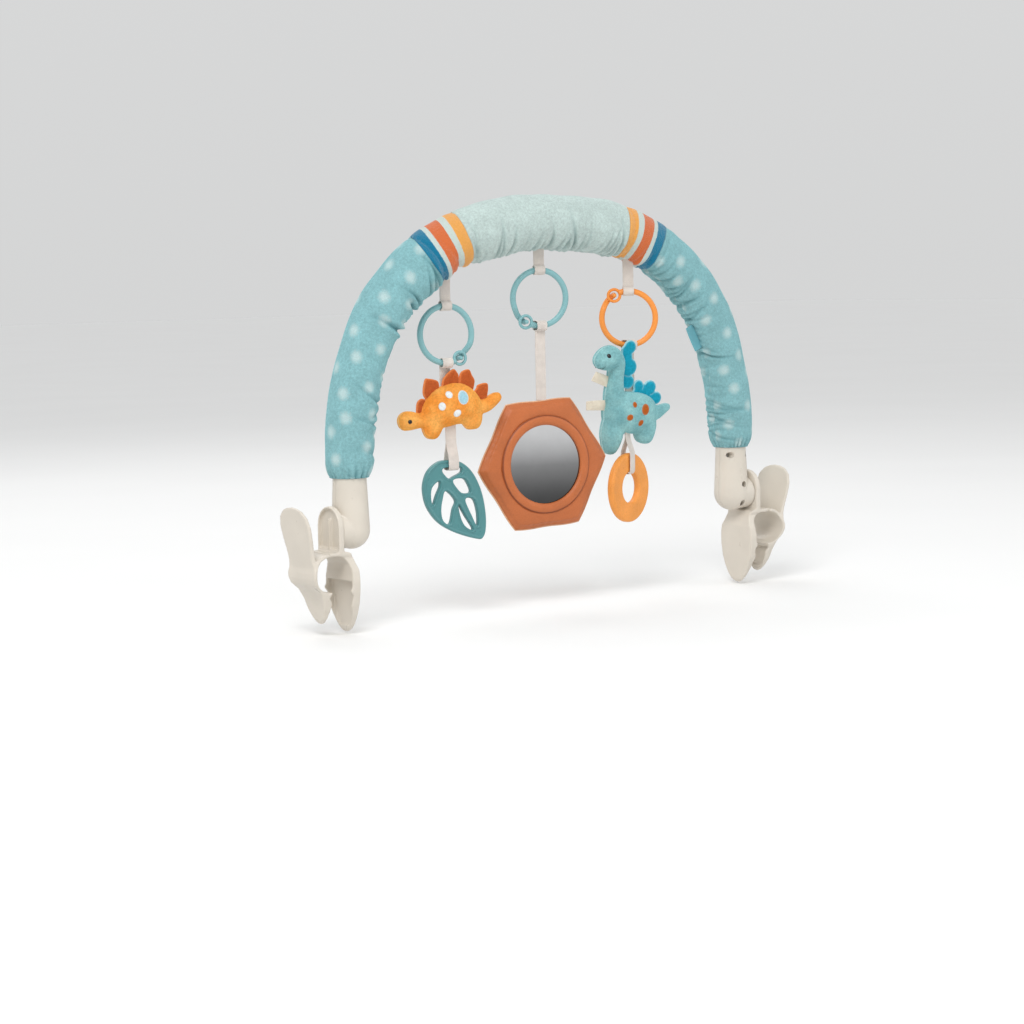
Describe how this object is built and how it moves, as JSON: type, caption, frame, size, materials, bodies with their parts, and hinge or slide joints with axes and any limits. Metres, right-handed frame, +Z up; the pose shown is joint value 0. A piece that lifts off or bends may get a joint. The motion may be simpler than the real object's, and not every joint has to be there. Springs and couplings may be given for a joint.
{
  "type": "stroller mobile",
  "caption": "Padded play arch on two squeeze clips, with three toys hanging from snap rings: a plush stegosaur and leaf, a hexagonal mirror, and a plush long-neck and ring.",
  "frame": {"origin": "midway between the two clips' rim seats, at the height of the rims' tops", "axes": "+X along the arch from its left foot to its right foot as seen from the front, -Y towards the front, +Z up"},
  "size_m": [0.6298, 0.0516, 0.4179],
  "materials": {
    "aqua_cloth": "short plush",
    "seafoam_cloth": "short plush",
    "stripe_cloth": "short plush with sewn bands",
    "foam": "open foam",
    "core_plastic": "matte",
    "cream_plastic": "satin",
    "steel": "plain",
    "tape": "woven",
    "teal_plastic": "satin",
    "orange_plastic": "satin",
    "orange_plush": "short plush",
    "rust_felt": "felt",
    "blue_felt": "felt",
    "teal_plush": "short plush",
    "teal_silicone": "matte",
    "orange_silicone": "matte",
    "tan_leather": "smooth",
    "mirror_film": "polished"
  },
  "bodies": {
    "arch": {"arch_core": "core_plastic", "arch_foam": "foam", "cover_left": "aqua_cloth", "stripe_panel_left": "stripe_cloth", "cover_center": "seafoam_cloth", "stripe_panel_right": "stripe_cloth", "cover_right": "aqua_cloth", "side_tag": "tape", "left_elbow_screw_half": "cream_plastic", "left_elbow_plain_half": "cream_plastic", "right_elbow_screw_half": "cream_plastic", "right_elbow_plain_half": "cream_plastic", "left_elbow_screw_1": "steel", "left_elbow_screw_2": "steel", "left_elbow_screw_3": "steel", "left_elbow_screw_4": "steel", "right_elbow_screw_1": "steel", "right_elbow_screw_2": "steel", "right_elbow_screw_3": "steel", "right_elbow_screw_4": "steel"},
    "left_clip_base": {"left_clip_inner_jaw": "cream_plastic"},
    "left_clip_lever": {"left_clip_outer_jaw": "cream_plastic"},
    "right_clip_base": {"right_clip_inner_jaw": "cream_plastic"},
    "right_clip_lever": {"right_clip_outer_jaw": "cream_plastic"},
    "left_hanger": {"left_hanger_tape": "tape"},
    "left_snap_ring": {"left_ring": "teal_plastic"},
    "stego": {"stego_loop": "tape", "stego_body": "orange_plush", "stego_head": "orange_plush", "stego_front_leg": "orange_plush", "stego_back_leg": "orange_plush", "stego_tail": "orange_plush", "stego_plate_1": "rust_felt", "stego_plate_2": "rust_felt", "stego_plate_3": "rust_felt", "stego_plate_4": "rust_felt", "stego_plate_5": "rust_felt", "leaf_tape": "tape"},
    "leaf": {"leaf_teether": "teal_silicone"},
    "center_hanger": {"center_hanger_tape": "tape"},
    "center_snap_ring": {"center_ring": "teal_plastic"},
    "mirror": {"mirror_tape": "tape", "mirror_front_panel": "tan_leather", "mirror_disc": "mirror_film", "mirror_padding": "foam", "mirror_back_panel": "tan_leather"},
    "right_hanger": {"right_hanger_tape": "tape"},
    "right_snap_ring": {"right_ring": "orange_plastic"},
    "bronto": {"bronto_loop": "tape", "bronto_body": "teal_plush", "bronto_head": "teal_plush", "bronto_front_leg": "teal_plush", "bronto_back_leg": "teal_plush", "bronto_tail": "teal_plush", "bronto_neck_spines": "blue_felt", "bronto_back_spines": "blue_felt", "bronto_upper_tag": "tape", "bronto_lower_tag": "tape"},
    "teether": {"teether_tape": "tape", "ring_teether": "orange_silicone"}
  },
  "joints": [
    {"name": "left_clip_swivel", "type": "hinge", "parent": "arch", "child": "left_clip_base", "pos_m": [-0.247, 0, 0.022], "axis": [1, 0, 0], "range_deg": [-35, 35]},
    {"name": "left_clip_flex", "type": "hinge", "parent": "left_clip_base", "child": "left_clip_lever", "pos_m": [-0.2845, 0, 0], "axis": [0, 1, 0], "range_deg": [-3, 14], "stiffness_Nm_per_rad": 1.5},
    {"name": "right_clip_swivel", "type": "hinge", "parent": "arch", "child": "right_clip_base", "pos_m": [0.247, 0, 0.022], "axis": [1, 0, 0], "range_deg": [-35, 35]},
    {"name": "right_clip_flex", "type": "hinge", "parent": "right_clip_base", "child": "right_clip_lever", "pos_m": [0.2845, 0, 0], "axis": [0, 1, 0], "range_deg": [-14, 3], "stiffness_Nm_per_rad": 1.5},
    {"name": "left_hanger_twist", "type": "hinge", "parent": "arch", "child": "left_hanger", "pos_m": [-0.1295, 0, 0.26519], "axis": [0, 0, 1], "range_deg": [-8, 8]},
    {"name": "left_ring_swing", "type": "hinge", "parent": "left_hanger", "child": "left_snap_ring", "pos_m": [-0.1295, 0, 0.23319], "axis": [0.9848, -0.1736, 0], "range_deg": [-20, 20]},
    {"name": "stego_swing", "type": "hinge", "parent": "left_snap_ring", "child": "stego", "pos_m": [-0.1295, 0, 0.17719], "axis": [0.9848, -0.1736, 0], "range_deg": [-15, 15]},
    {"name": "center_hanger_twist", "type": "hinge", "parent": "arch", "child": "center_hanger", "pos_m": [-0.012, 0, 0.29013], "axis": [0, 0, 1], "range_deg": [-8, 8]},
    {"name": "center_ring_swing", "type": "hinge", "parent": "center_hanger", "child": "center_snap_ring", "pos_m": [-0.012, 0, 0.26613], "axis": [0.9397, -0.342, 0], "range_deg": [-20, 20]},
    {"name": "mirror_swing", "type": "hinge", "parent": "center_snap_ring", "child": "mirror", "pos_m": [-0.012, 0, 0.21013], "axis": [0.9397, -0.342, 0], "range_deg": [-15, 15]},
    {"name": "right_hanger_twist", "type": "hinge", "parent": "arch", "child": "right_hanger", "pos_m": [0.1055, 0, 0.27558], "axis": [0, 0, 1], "range_deg": [-8, 8]},
    {"name": "right_ring_swing", "type": "hinge", "parent": "right_hanger", "child": "right_snap_ring", "pos_m": [0.1055, 0, 0.24258], "axis": [0.8387, -0.5446, 0], "range_deg": [-20, 20]},
    {"name": "bronto_swing", "type": "hinge", "parent": "right_snap_ring", "child": "bronto", "pos_m": [0.1055, 0, 0.18658], "axis": [0.8387, -0.5446, 0], "range_deg": [-12, 15]},
    {"name": "leaf_swing", "type": "hinge", "parent": "stego", "child": "leaf", "pos_m": [-0.12655, -0.00052, 0.07769], "axis": [0.9848, -0.1736, 0], "range_deg": [-25, 25]},
    {"name": "teether_swing", "type": "hinge", "parent": "bronto", "child": "teether", "pos_m": [0.10203, 0.00049, 0.09158], "axis": [0.9511, 0.309, 0], "range_deg": [-25, 12]}
  ]
}
